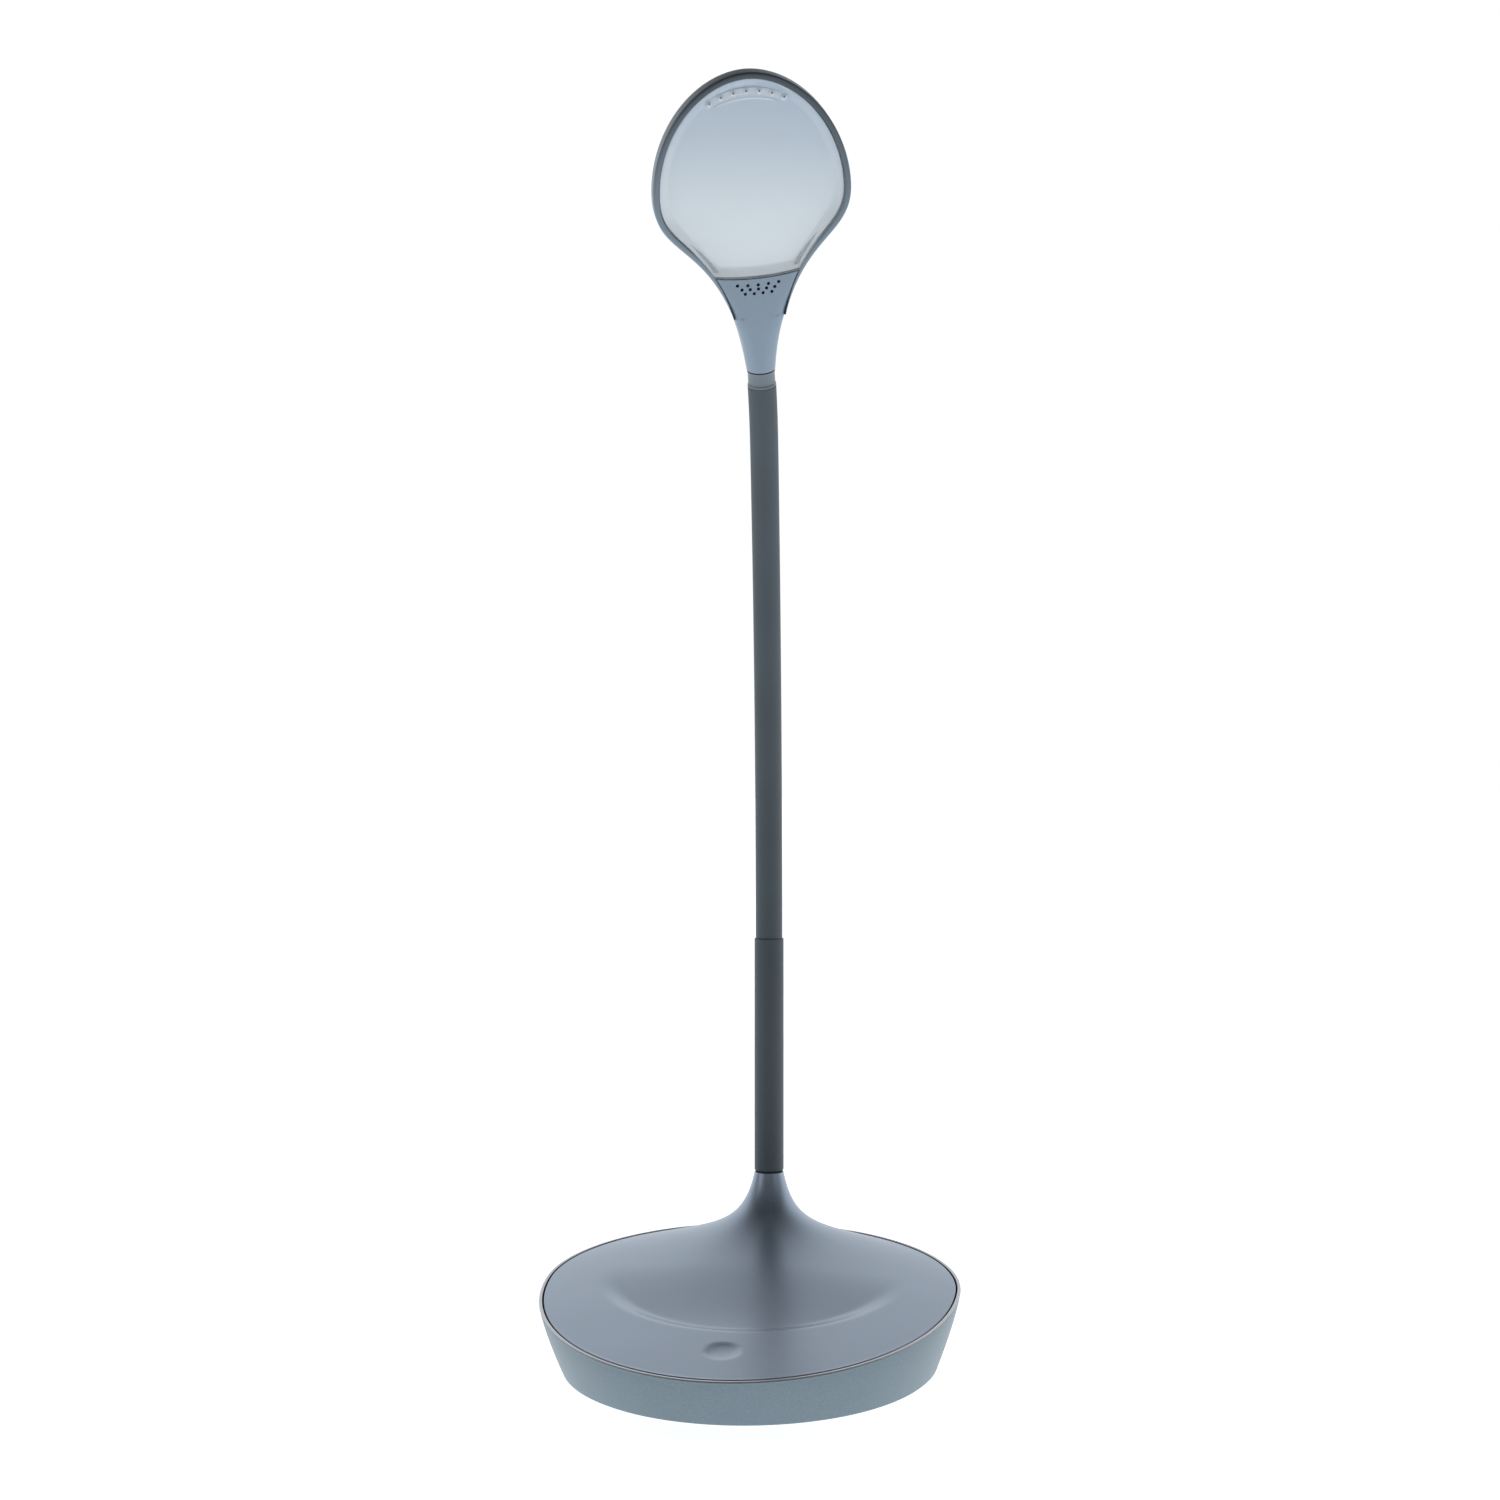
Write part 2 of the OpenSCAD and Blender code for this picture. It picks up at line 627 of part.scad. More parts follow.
function side(t) = let (u = 1 - t)
    u ^ 3 * [throat_r, 0] + 3 * u * u * t * shoulder_1
        + 3 * u * t * t * [head_half_w, shoulder_2] + t ^ 3 * [head_half_w, head_wide_s];
function side_dir(t) = let (u = 1 - t)
    unit(u * u * (shoulder_1 - [throat_r, 0])
        + 2 * u * t * ([head_half_w, shoulder_2] - shoulder_1)
        + t * t * [0, head_wide_s - shoulder_2]);
function side_in(t, d) = let (v = side_dir(t)) side(t) - d * [v[1], -v[0]];
// Share t at which the side curve, set in by d, passes height s
function side_t(s, d, low = 0, high = 1, n = 18) =
    let (m = (low + high) / 2)
    n == 0 ? m : side_in(m, d)[1] < s ? side_t(s, d, m, high, n - 1) : side_t(s, d, low, m, n - 1);
function mirror_x(points) = [for (i = [len(points) - 1:-1:0]) [-points[i][0], points[i][1]]];
// Closed outline above height s, set in by d, whose lower edge sags in its middle
function head_outline(s, d, sag = 0) =
    let (t0 = side_t(s, d),
         right = [for (k = [0:side_n - 1]) side_in(mix(t0, 1, k / side_n), d)],
         top = [for (k = [0:top_n - 1]) let (a = 90 * k / top_n)
             [(head_half_w - d) * cos(a) ^ top_power,
              head_wide_s + (head_top_s - head_wide_s - d) * sin(a) ^ top_power]],
         half = concat(right, top),
         w = right[0][0],
         edge = [for (k = [1:edge_n - 1]) let (x = mix(-w, w, k / edge_n))
             if (sag > 0) [x, right[0][1] - sag * (1 - (x / w) ^ 2)]])
    concat(half, [[0, head_top_s - d]], mirror_x(half), edge);

// Strip of the outline between heights s0 and s1, with a sagging upper edge
function throat_outline(s0, s1, d, sag) =
    let (t0 = side_t(s0, d), t1 = side_t(s1, d),
         right = [for (k = [0:8]) side_in(mix(t0, t1, k / 8), d)],
         w = right[8][0],
         edge = [for (k = [1:7]) let (x = mix(w, -w, k / 8)) [x, right[8][1] - sag * (1 - (x / w) ^ 2)]])
    concat(right, edge, mirror_x(right));

// Extrudes a head outline between two depths, from y0 in front to y1 behind
module face_slab(y0, y1) {
    translate([0, y1, 0]) rotate([90, 0, 0]) linear_extrude(height = y1 - y0) children();
}

function face_ring(s, d, y, e = 0) = [for (p = head_outline(s, d))
    [p[0] * (1 - e), y, collar_s + (p[1] - collar_s) * (1 - 0.42 * e)]];

ledge_y = -face_y + lens_t + 0.8;
ledge_in = bezel_w + 1.8;
boss_places = [[-22, 74], [22, 74], [-16, 108], [16, 108]];
boss_r = 2.8;
spreader_y = [-0.6, 0.6];
back_curve = [[0.8, 1], [0.55, 0.93], [0.34, 0.81], [0.19, 0.64], [0.09, 0.45], [0.03, 0.27], [0, 0.06]];

module back_shell() {
    w = head_wall;
    outer = [for (c = back_curve) face_ring(collar_s, 0, c[1] * back_y, c[0])];
    inner = [for (i = [len(back_curve) - 1:-1:0]) let (c = back_curve[i])
        face_ring(collar_s + w, w, c[1] * (back_y - w), c[0])];
    front = [
        face_ring(collar_s, 0, -face_y + 0.6), face_ring(collar_s + 0.5, 0.5, -face_y),
        face_ring(collar_s + bezel_w, bezel_w, -face_y), face_ring(collar_s + bezel_w, bezel_w, ledge_y),
        face_ring(collar_s + ledge_in, ledge_in, ledge_y), face_ring(collar_s + ledge_in, ledge_in, ledge_y + 0.8),
        face_ring(collar_s + w, w, ledge_y + 2)];
    color(shell_color) head_frame() difference() {
        union() {
            loft(concat(outer, front, inner));
            for (p = boss_places) translate([p[0], spreader_y[1] + fit, p[1]]) rotate([-90, 0, 0])
                cylinder(r = boss_r, h = back_y - w - spreader_y[1]);
        }
        for (p = boss_places) translate([p[0], 0, p[1]]) rotate([-90, 0, 0])
            cylinder(r = 0.9 + fit, h = 4.5);
        face_slab(-face_y - cut, ledge_y)
            polygon(throat_outline(collar_s - 3, lens_corner_s, bezel_w + fit, 0));
        translate([0, 2.5, collar_s - cut]) cylinder(r = lead_r + 1, h = w + 2 * cut);
    }
}

// Section of the throat at share t of the side curve up to the collar line
function throat_section(s) =
    let (w = side(side_t(s, 0))[0], f = smooth(s / collar_s),
         front = mix(throat_r, face_y, f), back = mix(throat_r, back_y, f), power = mix(1, 0.86, f))
    [for (i = [0:47]) let (a = 360 * i / 48, c = cos(a), v = sin(a))
        [w * sign(c) * abs(c) ^ power, (v < 0 ? front : back) * sign(v) * abs(v) ^ power, s]];
vent_rows = [[5, 4.65, 42.4], [5, 3.7, 40.5], [4, 4, 38.5]];
vent_curve = 0.0058;

module throat_housing() {
    color(shell_color) head_frame() difference() {
        union() {
            loft([for (s = [fit, 1, 4, 8, 12, 16, 20, 23.5, collar_s - fit]) throat_section(s)]);
            face_slab(-face_y, ledge_y - fit)
                polygon(throat_outline(collar_s - 2, lens_corner_s - fit, bezel_w + 2 * fit, lens_sag));
        }
        translate([0, 0, -cut]) cylinder(r = 4.6, h = bush_len + 0.2 + fit + cut);
        translate([0, 0, bush_len + 0.2]) cylinder(r = 5.4, h = collar_s);
        for (row = vent_rows) for (i = [0:row[0] - 1]) {
            x = (i - (row[0] - 1) / 2) * row[1];
            translate([x, 0, row[2] + vent_curve * x * x]) rotate([90, 0, 0])
                cylinder(r = vent_r, h = face_y + cut, $fn = 24);
        }
    }
}

module lens_panel() {
    color(lens_color) head_frame() face_slab(-face_y + 2 * fit, -face_y + 2 * fit + lens_t)
        polygon(head_outline(lens_corner_s + fit, bezel_w + 3 * fit, lens_sag));
}

module lens_gasket() {
    color(rubber_color) head_frame() face_slab(-face_y + 3 * fit + lens_t, ledge_y - fit) difference() {
        polygon(head_outline(lens_corner_s + 0.5, bezel_w + 3 * fit, lens_sag));
        polygon(head_outline(lens_corner_s + 2.5, ledge_in - 0.2, lens_sag));
    }
}

reflector_y = [-3, -2.4];
strip_y = [-3.6, -3.05];
led_y = [-4.7, -3.65];
led_r = 1.3;
led_arc_r = 35;          // radius of the arc that the LEDs stand on
led_top_s = head_top_s - 8.6;
led_step = 9.2;          // angle between neighbouring LEDs

module reflector() {
    color("white") head_frame() face_slab(reflector_y[0], reflector_y[1])
        polygon(head_outline(lens_corner_s - 2, ledge_in + 0.3, lens_sag));
}

module led_place() {
    for (i = [0:led_count - 1]) let (a = (i - (led_count - 1) / 2) * led_step)
        translate([led_arc_r * sin(a), 0, led_top_s - led_arc_r * (1 - cos(a))]) children();
}

module led_board() {
    span = led_step * (led_count - 1) / 2 + 2.6;
    function arc(r) = [for (k = [0:16]) let (a = mix(-span, span, k / 16))
        [r * sin(a), led_top_s - led_arc_r + r * cos(a)]];
    inner = arc(led_arc_r - 1.5);
    color(board_color) head_frame() face_slab(strip_y[0], strip_y[1])
        polygon(concat(arc(led_arc_r + 1.5), [for (i = [16:-1:0]) inner[i]]));
}

module leds() {
    color("lightyellow") head_frame() led_place()
        translate([0, led_y[1], 0]) rotate([90, 0, 0]) cylinder(r = led_r, h = led_y[1] - led_y[0], $fn = 24);
}

module heat_spreader() {
    color(steel_color) head_frame() difference() {
        face_slab(spreader_y[0], spreader_y[1]) polygon(head_outline(lens_corner_s + 3, 5.5, 0));
        for (p = boss_places) translate([p[0], 5, p[1]]) rotate([90, 0, 0]) cylinder(r = 1.2, h = 10);
    }
}

module head_screws() {
    color(steel_color) head_frame() for (p = boss_places) translate([p[0], spreader_y[0] - fit, p[1]]) {
        rotate([-90, 0, 0]) cylinder(r = 0.9, h = 5);
        rotate([90, 0, 0]) cylinder(r = 2, h = 1.2);
    }
}

// Lead from the spigot's end, over the back of the heat spreader, to the LED strip
module head_lead() {
    y = 2.5;
    color(rubber_color) head_frame()
        lead([[0, 0, lead_split + 2 * lead_end], [0, 0, 18], [0, y, 24], [0, y, 118]]);
}

for (k = [0:neck_joints]) {
    neck_link(k);
    neck_skin(k);
}
base_shell();
top_cover();
cover_seal();
bottom_plate();
ballast();
foot_mat();
plate_screws();
control_board();
board_standoffs();
board_parts();
board_screws();
touch_sensor();
power_jack();
stem_tube();
stem_bracket();
bracket_screws();
stem_washer();
stem_nut();
collar_ring();
stem_sleeve();
base_leads();
swivel_spigot();
swivel_ferrule();
friction_washer();
swivel_clip();
swivel_bush();
throat_housing();
back_shell();
lens_panel();
lens_gasket();
reflector();
led_board();
leds();
heat_spreader();
head_screws();
head_lead();
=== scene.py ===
"""Looks of the gooseneck examination lamp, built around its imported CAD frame.

Lengths are millimetres in the lamp's own frame, unless a comment says otherwise. Shapes that repeat the CAD
model's curves use the same names as its source.
"""

import json
from math import cos, pi, radians, sin, sqrt

import bmesh
import bpy
from mathutils import Matrix, Vector


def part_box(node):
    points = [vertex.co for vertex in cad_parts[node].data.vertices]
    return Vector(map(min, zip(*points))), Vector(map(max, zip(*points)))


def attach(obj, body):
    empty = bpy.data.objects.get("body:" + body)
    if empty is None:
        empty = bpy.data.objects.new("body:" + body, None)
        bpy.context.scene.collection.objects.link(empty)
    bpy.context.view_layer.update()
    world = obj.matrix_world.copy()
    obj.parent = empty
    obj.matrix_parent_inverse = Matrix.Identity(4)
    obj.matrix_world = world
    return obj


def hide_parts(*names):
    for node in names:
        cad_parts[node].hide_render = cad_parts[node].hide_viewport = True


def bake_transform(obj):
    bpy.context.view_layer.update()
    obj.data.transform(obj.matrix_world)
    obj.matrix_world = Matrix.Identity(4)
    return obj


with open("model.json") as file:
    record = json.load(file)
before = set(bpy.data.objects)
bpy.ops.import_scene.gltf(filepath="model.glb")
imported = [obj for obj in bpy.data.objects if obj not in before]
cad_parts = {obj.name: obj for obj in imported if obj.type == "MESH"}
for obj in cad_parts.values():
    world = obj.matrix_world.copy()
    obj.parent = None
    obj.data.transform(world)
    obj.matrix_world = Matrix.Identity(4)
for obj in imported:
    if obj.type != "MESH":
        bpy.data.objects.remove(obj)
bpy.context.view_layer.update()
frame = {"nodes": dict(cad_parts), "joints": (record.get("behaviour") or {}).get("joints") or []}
nodes = frame["nodes"]
joints = {j["name"]: j for j in frame["joints"]}
MM = 0.001

# ---- camera ----
camera = bpy.data.objects.new("camera", bpy.data.cameras.new("camera"))
bpy.context.collection.objects.link(camera)
camera.location = (0.1607, -1.0096, 0.290)
camera.rotation_euler = (radians(90), 0, radians(8.94))
camera.data.lens = 52.8
camera.data.sensor_width = 36
bpy.context.scene.camera = camera
bpy.context.scene.view_settings.view_transform = "Standard"


# ---- helpers ----
def mix(a, b, t):
    return a + (b - a) * t


def clamp01(v):
    return min(1.0, max(0.0, v))


def smooth(v):
    c = clamp01(v)
    return c * c * (3 - 2 * c)


def piece(name, points, faces, material, place=None, sharp=32):
    """Mesh object from points in millimetres, smooth but where faces meet at more than sharp degrees."""
    mesh = bpy.data.meshes.new(name)
    mesh.from_pydata([tuple(Vector(p) * MM) for p in points], [], faces)
    if place is not None:
        mesh.transform(place)
    bm = bmesh.new()
    bm.from_mesh(mesh)
    bmesh.ops.remove_doubles(bm, verts=bm.verts, dist=1e-6)
    bmesh.ops.dissolve_degenerate(bm, edges=bm.edges, dist=1e-7)
    bmesh.ops.recalc_face_normals(bm, faces=bm.faces)
    bm.to_mesh(mesh)
    bm.free()
    obj = bpy.data.objects.new(name, mesh)
    bpy.context.collection.objects.link(obj)
    mesh.materials.append(material)
    shade(obj, sharp)
    return obj


def shade(obj, sharp=32):
    """Smooth shading with sharp edges where faces meet at more than sharp degrees."""
    bm = bmesh.new()
    bm.from_mesh(obj.data)
    for face in bm.faces:
        face.smooth = True
    for edge in bm.edges:
        edge.smooth = len(edge.link_faces) == 2 and edge.calc_face_angle(0) < radians(sharp)
    bm.to_mesh(obj.data)
    bm.free()


def loft_faces(count, size, wrap=False, strips=False):
    """Faces through a stack of count rings of size points each. With strips, the last ring is closed by quads
    from one half of the ring to the other, which follow a curved end."""
    faces = []
    for j in range(count if wrap else count - 1):
        for i in range(size):
            a, b = j * size + i, j * size + (i + 1) % size
            c, d = ((j + 1) % count) * size + (i + 1) % size, ((j + 1) % count) * size + i
            faces.append((a, b, c, d))
    if not wrap:
        faces.append(tuple(reversed(range(size))))
        last = (count - 1) * size
        if strips:
            half = last + size // 2
            faces += [(last, last + 1, last + size - 1), (half - 1, half, half + 1)]
            faces += [(last + i, last + i + 1, last + size - i - 1, last + size - i)
                      for i in range(1, size // 2 - 1)]
        else:
            faces.append(tuple(range(last, last + size)))
    return faces


def loft(name, rings, material, wrap=False, place=None, sharp=32, strips=False):
    points = [p for ring in rings for p in ring]
    faces = loft_faces(len(rings), len(rings[0]), wrap, strips)
    return piece(name, points, faces, material, place, sharp)


def lathe(name, profile, material, place=None, sides=96, wrap=True, sharp=32):
    """Turned solid from a profile of (radius, height) around the local Z axis, closed if wrap is set."""
    angles = [2 * pi * i / sides for i in range(sides)]
    rings = [[(r * cos(a), r * sin(a), z) for a in angles] for r, z in profile]
    return loft(name, rings, material, wrap, place, sharp)


def cut_away(obj, cutters, sharp=32):
    """Cuts the cutters out of obj and removes them."""
    for cutter in cutters:
        change = obj.modifiers.new("cut", "BOOLEAN")
        change.operation = "DIFFERENCE"
        change.solver = "EXACT"
        change.object = cutter
    graph = bpy.context.evaluated_depsgraph_get()
    mesh = bpy.data.meshes.new_from_object(obj.evaluated_get(graph))
    obj.modifiers.clear()
    obj.data = mesh
    for cutter in cutters:
        bpy.data.objects.remove(cutter)
    shade(obj, sharp)


def corner(r, steps=5):
    """Points (run, drop) of a rounded corner of radius r: run from 0 to r and drop from 0 to r."""
    angles = [radians(90 * k / steps) for k in range(steps + 1)]
    return [(r * sin(a), r * (1 - cos(a))) for a in angles]


# ---- materials ----
def new_material(name, color, roughness, metallic=0.0, **inputs):
    """Principled material whose inputs are set by their socket names, with underscores for spaces."""
    material = bpy.data.materials.new(name)
    material.use_nodes = True
    shader = material.node_tree.nodes["Principled BSDF"]
    shader.inputs["Base Color"].default_value = (*color, 1)
    shader.inputs["Roughness"].default_value = roughness
    shader.inputs["Metallic"].default_value = metallic
    for key, value in inputs.items():
        shader.inputs[key.replace("_", " ")].default_value = value
    return material


def add_grain(material, scale, tone=0.06, rough=0.04, bump=0.05, depth=0.0001, cloud=0.0):
    """Fine grain in colour, roughness and height. The scale is in waves per metre, the depth is in metres,
    and cloud adds broad faint patches."""
    tree = material.node_tree
    make, link = tree.nodes.new, tree.links.new
    shader = tree.nodes["Principled BSDF"]
    color = tuple(shader.inputs["Base Color"].default_value)[:3]
    roughness = shader.inputs["Roughness"].default_value
    place = make("ShaderNodeTexCoord")
    grain = make("ShaderNodeTexNoise")
    grain.inputs["Scale"].default_value = scale
    grain.inputs["Detail"].default_value = 3
    grain.inputs["Roughness"].default_value = 0.6
    link(place.outputs["Object"], grain.inputs["Vector"])
    factor = grain.outputs["Fac"]
    if cloud:
        patches = make("ShaderNodeTexNoise")
        patches.inputs["Scale"].default_value = 28
        patches.inputs["Detail"].default_value = 2
        link(place.outputs["Object"], patches.inputs["Vector"])
        blend = make("ShaderNodeMix")
        blend.inputs["Factor"].default_value = cloud
        link(grain.outputs["Fac"], blend.inputs["A"])
        link(patches.outputs["Fac"], blend.inputs["B"])
        factor = blend.outputs["Result"]
    ramp = make("ShaderNodeValToRGB")
    ramp.color_ramp.elements[0].position = 0.3
    ramp.color_ramp.elements[1].position = 0.7
    ramp.color_ramp.elements[0].color = (*(c * (1 - tone) for c in color), 1)
    ramp.color_ramp.elements[1].color = (*(c * (1 + tone) for c in color), 1)
    link(factor, ramp.inputs["Fac"])
    link(ramp.outputs["Color"], shader.inputs["Base Color"])
    gloss = make("ShaderNodeMapRange")
    gloss.inputs["From Min"].default_value = 0.3
    gloss.inputs["From Max"].default_value = 0.7
    gloss.inputs["To Min"].default_value = roughness - rough
    gloss.inputs["To Max"].default_value = roughness + rough
    link(grain.outputs["Fac"], gloss.inputs["Value"])
    link(gloss.outputs["Result"], shader.inputs["Roughness"])
    height = make("ShaderNodeBump")
    height.inputs["Strength"].default_value = bump
    height.inputs["Distance"].default_value = depth
    link(grain.outputs["Fac"], height.inputs["Height"])
    link(height.outputs["Normal"], shader.inputs["Normal"])
    return material


shell_paint = add_grain(
    new_material("shell_paint", (0.155, 0.212, 0.252), 0.46, 0.25), 1300, tone=0.16, bump=0.2, cloud=0.15)
throat_paint = add_grain(
    new_material("throat_paint", (0.240, 0.310, 0.385), 0.40, 0.35), 1800, tone=0.05, bump=0.05, cloud=0.2)
# Painted highlight: a lighter, more metallic material for the rim's upward faces, standing in for the light
# line along the lip.
lip_highlight_metal = add_grain(new_material("lip_highlight_metal", (0.52, 0.52, 0.54), 0.34, 0.8), 1600, tone=0.05, bump=0.03)
cover_paint = add_grain(
    new_material("cover_paint", (0.300, 0.360, 0.445), 0.35, 0.72), 1500, tone=0.07, bump=0.07, cloud=0.25)
neck_rubber = add_grain(
    new_material("neck_rubber", (0.060, 0.084, 0.101), 0.58), 1400, tone=0.10, bump=0.15, cloud=0.3)
seal_rubber = add_grain(new_material("seal_rubber", (0.012, 0.013, 0.015), 0.75), 900, tone=0.1, bump=0.1)
foot_rubber = add_grain(
    new_material("foot_rubber", (0.020, 0.021, 0.023), 0.85), 700, tone=0.15, bump=0.4, cloud=0.2)
brushed_steel = add_grain(
    new_material("brushed_steel", (0.52, 0.53, 0.54), 0.32, 1.0), 900, tone=0.05, bump=0.06)
cast_iron = add_grain(
    new_material("cast_iron", (0.075, 0.078, 0.082), 0.7, 0.6), 500, tone=0.2, bump=0.6, depth=0.0003,
    cloud=0.3)
brass = add_grain(new_material("brass", (0.62, 0.47, 0.21), 0.3, 1.0), 900, tone=0.06, bump=0.05)
board_green = add_grain(new_material("board_green", (0.012, 0.085, 0.045), 0.4), 600, tone=0.12, bump=0.1)
dark_plastic = add_grain(new_material("dark_plastic", (0.035, 0.038, 0.042), 0.5), 1200, tone=0.08, bump=0.08)
white_film = add_grain(new_material("white_film", (0.80, 0.84, 0.88), 0.5), 800, tone=0.02, bump=0.02)
ferrule_grey = add_grain(
    new_material("ferrule_grey", (0.165, 0.205, 0.235), 0.45, 0.2), 1500, tone=0.06, bump=0.06)


def painted_shade_by_height(material, low, high):
    """Painted shade: colour that changes from low at the piece's lower end to high at its upper end, standing
    in for the light and shade that fall on the piece by height.
    """
    tree = material.node_tree
    make, link = tree.nodes.new, tree.links.new
    place, split, ramp = make("ShaderNodeTexCoord"), make("ShaderNodeSeparateXYZ"), make("ShaderNodeValToRGB")
    link(place.outputs["Generated"], split.inputs["Vector"])
    link(split.outputs["Z"], ramp.inputs["Fac"])
    ramp.color_ramp.interpolation = "EASE"
    ramp.color_ramp.elements[0].color = (*low, 1)
    ramp.color_ramp.elements[0].position = 0.2
    ramp.color_ramp.elements[1].color = (*high, 1)
    link(ramp.outputs["Color"], tree.nodes["Principled BSDF"].inputs["Base Color"])
    return material


# Painted shade: the lens colour is lighter at its lower end and darker towards its top, standing in for the
# floor's light falling on its lower part.
diffuser_with_painted_shade = painted_shade_by_height(
    new_material("diffuser_with_painted_shade", (0.80, 0.90, 0.98), 0.06, IOR=1.49, Coat_Weight=1, Coat_Roughness=0.03,
                 Coat_IOR=1.8, Alpha=0.16), (0.90, 0.96, 1.0), (0.60, 0.70, 0.80))
# Painted shade: the head's paint darkens from its lower end to near black at its top, standing in for the
# shade on the frame around the lens; from behind this shows as a dark tip.
head_paint_with_painted_shade = painted_shade_by_height(add_grain(new_material("head_paint_with_painted_shade", (0.17, 0.22, 0.27), 0.42, 0.3), 1800, bump=0.05),
                   (0.225, 0.290, 0.350), (0.060, 0.080, 0.098))
# Painted shade: the light panel is lighter at its lower end and darker towards its top, standing in for how
# light falls inside the head.
guide_white_with_painted_shade = painted_shade_by_height(
    new_material("guide_white_with_painted_shade", (0.8, 0.9, 0.97), 0.4, Coat_Weight=1, Coat_Roughness=0.03, Coat_IOR=1.8),
    (0.88, 0.96, 1.0), (0.56, 0.67, 0.79))
led_white = add_grain(
    new_material("led_white", (0.90, 0.94, 0.98), 0.18, Coat_Weight=0.8), 2500, tone=0.03, bump=0.02)

for material, names in {
    foot_rubber: ["foot_mat"],
    seal_rubber: ["base_leads", "friction_washer", "head_lead"],
    brushed_steel: ["bottom_plate", "plate_screws", "stem_tube", "stem_bracket", "bracket_screws",
                    "stem_washer", "board_screws", "swivel_spigot", "swivel_clip", "head_screws",
                    "heat_spreader"] + [n for n in nodes if n.startswith("neck_link_")],
    cast_iron: ["ballast"],
    brass: ["board_standoffs", "touch_sensor", "stem_nut", "swivel_bush"],
    board_green: ["control_board"],
    dark_plastic: ["board_parts", "power_jack"],
    white_film: ["led_board"],
    guide_white_with_painted_shade: ["reflector"],
}.items():
    for name in names:
        nodes[name].data.materials.clear()
        nodes[name].data.materials.append(material)

# ---- base outline and cover surface, as in the CAD model ----
rim_half_w, rim_front, rim_back = 98.6, 108.9, 81.5
rim_height, rim_slope = 38.7, 0.141
shell_draft, shell_wall, rim_lip, reveal_gap = 12, 2.6, 1.55, 0.7
cover_wall, cover_dome, hollow_depth = 2.4, 3, 3
dimple_r, dimple_depth = 8, 0.95
stem_y, collar_z, stem_top_z = 73, 80.5, 196.5
stem_sleeve_r, stem_tube_r = 7.25, 5
egg_y = (rim_front - rim_back) / 2
cover_inset = rim_lip + reveal_gap
dimple_y = egg_y - rim_front + 28.9
edge_drop, seat_inset = 3, 5
ledge_drop = edge_drop + 1.1
around = 320
hollow_y, hollow_half_w, hollow_reach, hollow_fall, hollow_edge = 22.7, 76, 71, 62, 11
dome_power, blend_power = 2, 6


def egg(inset, a):
    reach = rim_front if sin(a) < 0 else rim_back
    return (rim_half_w - inset) * cos(a), egg_y + (reach - inset) * sin(a)


def rim_z(y):
    return rim_height + rim_slope * (y - egg_y)


cover_rise = collar_z - rim_z(stem_y) - cover_dome


def turn(count=around):
    return [2 * pi * i / count for i in range(count)]


def rim_ring(inset, drop):
    return [(*p, rim_z(p[1]) - drop) for p in (egg(inset, a) for a in turn())]


def flat_ring(inset, z):
    return [(*egg(inset, a), z) for a in turn()]


def wall_ring(f, extra=0.0):
    inset = shell_draft * (1 - f) ** 1.25
    return [(*egg(inset + extra, a), f * rim_z(egg(0, a)[1])) for a in turn()]


def hollow(x, y):
    """Depth of the crescent hollow: it falls away from hollow_y, and ends on an ellipse in front of it."""
    v = hollow_y - y
    if v <= 0:
        return 0.0
    q = sqrt((x / hollow_half_w) ** 2 + (v / hollow_reach) ** 2)
    return hollow_depth * smooth(v / hollow_fall) * smooth((1 - q) * hollow_reach / hollow_edge)


def dimple(x, y):
    q = sqrt(x * x + (y - dimple_y) ** 2) / dimple_r
    return 0.0 if q >= 1 else dimple_depth * (1 - q * q) ** 0.6


def cover_height(x, y, t):
    r = max(stem_sleeve_r, sqrt(x * x + (y - stem_y) ** 2))
    level = rim_z(mix(stem_y, y, 1 - (1 - t) ** blend_power))
    trumpet = cover_rise * (stem_sleeve_r / r) * (1 - t)
    return level + trumpet + cover_dome * (1 - t ** dome_power) - hollow(x, y) - dimple(x, y)


def cover_plan(q, r, t):
    d = Vector((q[0], q[1] - stem_y)).normalized() * r
    return mix(d.x, q[0], t), mix(stem_y + d.y, q[1], t)


def cover_ring(inset, r, t, drop):
    """Ring of the cover's surface, set down by drop, a share t of the way from the stem to the rim."""
    ring = []
    for a in turn():
        x, y = cover_plan(egg(inset, a), r, t)
        ox, oy = cover_plan(egg(cover_inset, a), stem_sleeve_r, t)
        ring.append((x, y, cover_height(ox, oy, t) - drop))
    return ring


# ---- base shell ----
lip_r, inner_r = 0.55, 0.3
foot_edge = ((2, 1), (1.3, 1.08), (0.7, 1.4), (0.1, 2.1))
shell_rings = [flat_ring(shell_draft + inset, z) for inset, z in foot_edge]
shell_rings += [wall_ring(mix(0.09, 0.965, k / 22)) for k in range(23)]
shell_rings += [rim_ring(lip_r * (1 - cos(radians(v))), lip_r * (1 - sin(radians(v))))
                for v in range(0, 91, 15)]
shell_rings += [rim_ring(rim_lip - inner_r + run, drop) for run, drop in corner(inner_r, 4)]
shell_rings += [rim_ring(rim_lip, ledge_drop), rim_ring(seat_inset, ledge_drop)]
shell_rings += [rim_ring(seat_inset, ledge_drop + 3)]
shell_rings += [wall_ring(f, shell_wall) for f in (0.6, 0.45, 0.32)]
shell_rings += [flat_ring(inset, z) for inset, z in ((13.1, 5.4), (21, 5.4), (21, 3.25), (15, 3.25), (15, 1))]
base_shell = loft("base_shell_skin", shell_rings, shell_paint, wrap=True)
base_shell.data.materials.append(lip_highlight_metal)

